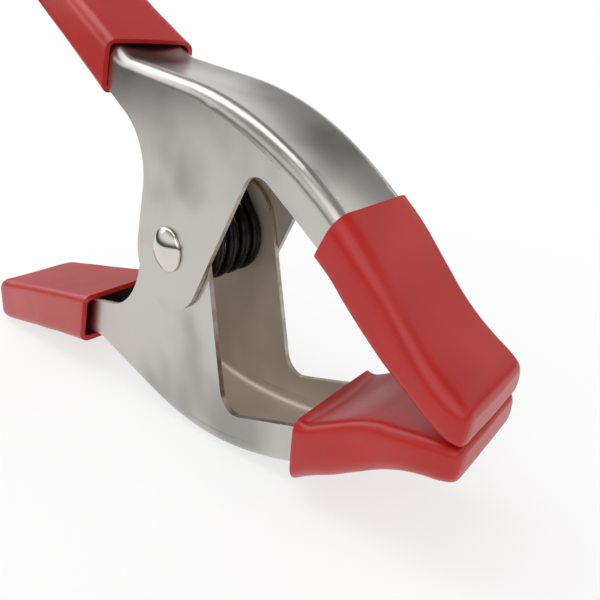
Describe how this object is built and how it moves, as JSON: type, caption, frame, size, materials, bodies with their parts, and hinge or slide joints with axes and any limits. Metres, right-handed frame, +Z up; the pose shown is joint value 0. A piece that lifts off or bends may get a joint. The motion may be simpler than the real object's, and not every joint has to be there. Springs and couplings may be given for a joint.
{
  "type": "spring clamp",
  "caption": "Spring clamp of two pressed steel halves riveted at a pivot, with a torsion spring and soft vinyl grips and jaw tips.",
  "frame": {"origin": "centre of the clamp's box on the surface that it stands on", "axes": "+X towards the jaw tips, +Y along the rivet towards its formed tail, +Z up, with the clamp standing on its lower half as in the picture"},
  "size_m": [0.1854, 0.029, 0.1314],
  "materials": {
    "nickel_plated_steel": "bright nickel plate over pressed sheet",
    "red_vinyl": "dipped soft vinyl with a soft gloss",
    "rivet_steel": "polished plated rivet",
    "black_spring_steel": "oiled black spring wire"
  },
  "bodies": {
    "lower_half": {"lower_jaw": "nickel_plated_steel", "lower_handle_grip": "red_vinyl", "lower_jaw_tip": "red_vinyl", "torsion_spring": "black_spring_steel"},
    "upper_half": {"upper_jaw": "nickel_plated_steel", "upper_handle_grip": "red_vinyl", "upper_jaw_tip": "red_vinyl", "pivot_rivet": "rivet_steel"}
  },
  "joints": [
    {"name": "pivot", "type": "hinge", "parent": "lower_half", "child": "upper_half", "pos_m": [0.01658, 0.00053, 0.04228], "axis": [0, -1, 0], "range_deg": [0, 50], "stiffness_Nm_per_rad": 3.6, "springref_deg": -45.84, "deforming": ["torsion_spring"]}
  ]
}
